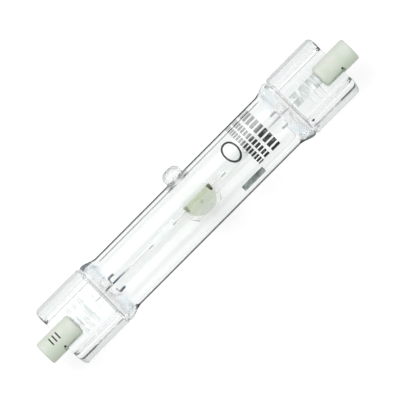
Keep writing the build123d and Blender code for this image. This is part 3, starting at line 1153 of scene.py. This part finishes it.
def build_coil(name, tungsten):
    low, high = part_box(name)
    y, z = (low.y + high.y) / 2, (low.z + high.z) / 2
    outer = (high.z - low.z) / 2 - COIL_WIRE_RADIUS
    start, end = low.x + COIL_WIRE_RADIUS, high.x - COIL_WIRE_RADIUS
    maker = bmesh.new()
    swept(maker, coil_path(start, end, y, z, outer))
    swept(maker, coil_path(end, start, y, z, outer - LAYER_STEP))
    return object_from(maker, "wound_" + name, [tungsten], name)


pale_tungsten = metal(
    "pale_tungsten", (0.4, 0.41, 0.36), (0.6, 0.6, 0.55), 0.5, grain=900.0, relief=0.02 * MM
)
dark_tungsten = metal(
    "dark_tungsten", (0.02, 0.02, 0.015), (0.09, 0.085, 0.07), 0.5, grain=900.0, relief=0.02 * MM
)
left_coil = build_coil("electrode_coil_left", pale_tungsten)
right_coil = build_coil("electrode_coil_right", dark_tungsten)
print("faces in the coils:", len(left_coil.data.polygons), "and", len(right_coil.data.polygons))

# %% [markdown]
# ## Leads and brackets
# The leads and brackets are bright and thin, and mirror the white studio, so along most of
# their length they hardly show. What shows is where the heat of pressing has oxidised
# them, beside each press, and more on the left. Two metals would need a border, so it is
# one finish with a share of tarnish that rises towards the presses, with streaks along the
# wire. On the brackets only the legs are dark, and the strip across the lead stays clean.

# %% Tarnished metal
HEATED = (24.0 * MM, 31.5 * MM)
HEATED_STOP = (35.6 * MM, 34.6 * MM)
LEFT_SIDE = (MM, -MM)
RIGHT_SHARE = 0.5
LEGS = (0.7 * MM, 1.0 * MM)
STREAK_SCALE = 2500.0
STREAK_STRETCH = (0.05, 1.0, 1.0)
STREAK_REACH = 1.5 * MM
STREAK_DEPTH = 0.01 * MM
STREAK_GLOSS = 0.25


def tarnishing(name, bright, dark, roughness, only_legs):
    """Bright metal, heated dark beside the presses."""
    finish = Finish(bpy.data.materials.new(name))
    x, across, _ = finish.along_across_up()
    streaks = finish.noise(STREAK_SCALE, 3.0, STREAK_STRETCH)
    distance = abs(x) + (streaks - 0.5) * STREAK_REACH
    heated = finish.rising(distance, *HEATED) * finish.rising(distance, *HEATED_STOP)
    heated = heated * (finish.rising(x, *LEFT_SIDE) * (1 - RIGHT_SHARE) + RIGHT_SHARE)
    if only_legs:
        heated = heated * finish.rising(abs(across), *LEGS)
    return finish.done(finish.principled(
        Base_Color=finish.blend(heated, bright, dark),
        Metallic=1.0,
        Roughness=streaks * STREAK_GLOSS + roughness,
        Normal=finish.bump(streaks, STREAK_DEPTH),
    ))


lead_metal = tarnishing("lead_wire", (0.94, 0.95, 0.95), (0.07, 0.11, 0.14), 0.25, only_legs=False)
strip_metal = tarnishing("bracket_strip", (0.8, 0.81, 0.81), (0.05, 0.08, 0.09), 0.3, only_legs=True)
for side_name in ("left", "right"):
    dress("inner_lead_" + side_name, lead_metal)
    dress("outer_lead_" + side_name, lead_metal)
    dress("lead_bracket_" + side_name, strip_metal)
print("tarnish starts in mm from the middle:", round(HEATED[0] / MM, 1))

# %% [markdown]
# ## Foils, rods, getter and contacts
# A molybdenum foil carries the current through each press. The right outer foil looks
# greyer and blotched, where the silica has let go of it here and there, and the left one
# is pale. The getter strip is dark and mottled from the gas it has taken up. The contacts
# are plain nickel, and the drop of mercury in the bulb is a dull mirror under the salts.

# %% Other metals
arc_foil = metal(
    "arc_foil", (0.56, 0.58, 0.58), (0.65, 0.67, 0.66), 0.5,
    grain=600.0, stretch=(0.2, 1, 1), relief=0.01 * MM,
)
pale_foil = metal(
    "seal_foil_pale", (0.5, 0.53, 0.52), (0.9, 0.91, 0.9), 0.4,
    grain=1300.0, stretch=(1, 0.12, 1), relief=0.01 * MM,
)
grey_foil = metal(
    "seal_foil_dark", (0.42, 0.45, 0.44), (0.8, 0.82, 0.81), 0.45,
    grain=1000.0, stretch=(1, 0.3, 1), relief=0.01 * MM,
)
rod = metal("tungsten_rod", (0.85, 0.85, 0.85), (0.95, 0.95, 0.94), 0.5, grain=900.0, stretch=(0.1, 1, 1))
getter = metal("getter", (0.06, 0.09, 0.08), (0.36, 0.44, 0.41), 0.6, grain=800.0, relief=0.05 * MM)
nickel = metal("contact_nickel", (0.6, 0.59, 0.56), (0.75, 0.74, 0.71), 0.3, grain=500.0, relief=0.01 * MM)
mercury = metal("mercury", (0.66, 0.67, 0.66), (0.74, 0.75, 0.74), 0.3, grain=300.0)

for side_name, seal_foil in (("left", pale_foil), ("right", grey_foil)):
    dress("seal_foil_" + side_name, seal_foil)
    dress("arc_foil_" + side_name, arc_foil)
    dress("electrode_rod_" + side_name, rod)
    dress("contact_" + side_name, nickel)
dress("getter_strip", getter)
dress("getter_wire", rod)
dress("mercury_bead", mercury)
print("materials so far:", len(bpy.data.materials))

# %% [markdown]
# ## Ceramic caps
# The caps are pressed and fired steatite: pale, a little green, faintly mottled and with a
# soft sheen. Their shape comes from the frame as it is. The finish adds a painted shadow
# at the mouth where the slot ends past the glass, painted shading that tints each cap's
# lower side greener, and a small printed mark on the left cap, drawn here as three plain
# bars. The mouth and the mark could be cut or laid on as meshes, but at this size they are
# only a dark spot and three lines. Under the caps, the cement is a coarser white.

# %% Steatite and cement
CLAY_DARK = (0.68, 0.76, 0.64)
CLAY_PALE = (0.77, 0.79, 0.73)
# Painted shading: each cap's lower side is tinted greener, as the light fell on it.
CLAY_PAINTED_SHADING = (0.72, 0.83, 0.67)
PAINTED_SHADING_SIDE = (1.5 * MM, -3.6 * MM)
PAINTED_SHADING_SHARE = 0.8
MOTTLE_SCALE = 350.0
MOTTLE_RISE = (0.3, 0.7)
SHEEN_SCALE = 4000.0
SHEEN_DEPTH = 0.01 * MM
SHEEN_LEAST = 0.4
# A painted shadow: the dark spot where the slot ends past the glass.
PAINTED_SLOT_SHADOW = Vector((53.3, -2.38)) * MM
SLOT_SHADOW_EDGE = (0.44 * MM, 0.27 * MM)
MARK_PLACES = (-55.1, -53.85, -52.6)
MARK_HALF_WIDTH = 0.21 * MM
MARK_LOW = 0.15 * MM
MARK_HIGH = 2.35 * MM
# Black for both the painted slot shadow and the printed bars.
SHADOW_AND_INK_BLACK = (0.012, 0.015, 0.012)
CEMENT_SCALE = 2500.0
CEMENT_DEPTH = 0.05 * MM
CEMENT_DARK = (0.68, 0.69, 0.65)
CEMENT_PALE = (0.85, 0.85, 0.81)


def slot_shadow_and_print(clay):
    """1 in the painted shadow at the slot's mouth and on the three printed bars, on the upper half only."""
    x, across, upward = clay.along_across_up()
    off_x = abs(x) - PAINTED_SLOT_SHADOW.x
    off_y = across - PAINTED_SLOT_SHADOW.y
    # The painted shadow in the slot's mouth; the bars added next are print.
    dark = clay.rising((off_x * off_x + off_y * off_y) ** 0.5, *SLOT_SHADOW_EDGE)
    for place in MARK_PLACES:
        dark = dark + (abs(x - place * MM) < MARK_HALF_WIDTH) * clay.between(across, MARK_LOW, MARK_HIGH)
    return dark * (upward > 0.0)


def steatite_finish():
    clay = Finish(bpy.data.materials.new("steatite"))
    _, across, _ = clay.along_across_up()
    colour = clay.blend(clay.rising(clay.noise(MOTTLE_SCALE, 5.0), *MOTTLE_RISE), CLAY_DARK, CLAY_PALE)
    # Painted shading on each cap's lower side.
    colour = clay.blend(clay.rising(across, *PAINTED_SHADING_SIDE) * PAINTED_SHADING_SHARE, colour, CLAY_PAINTED_SHADING)
    grain = clay.noise(SHEEN_SCALE, 2.0)
    return clay.done(clay.principled(
        Base_Color=clay.blend(slot_shadow_and_print(clay), colour, SHADOW_AND_INK_BLACK),
        Roughness=grain * GLOSS_SPREAD + SHEEN_LEAST,
        Normal=clay.bump(grain, SHEEN_DEPTH),
    ))


def cement_finish():
    paste = Finish(bpy.data.materials.new("cement"))
    grain = paste.noise(CEMENT_SCALE, 4.0)
    colour = paste.blend(grain, CEMENT_DARK, CEMENT_PALE)
    relief = paste.bump(grain, CEMENT_DEPTH)
    return paste.done(paste.principled(Base_Color=colour, Roughness=0.85, Normal=relief))


steatite = steatite_finish()
cement = cement_finish()
for side_name in ("left", "right"):
    dress("ceramic_cap_" + side_name, steatite)
    dress("cement_" + side_name, cement)
print("bars on the left cap:", len(MARK_PLACES))
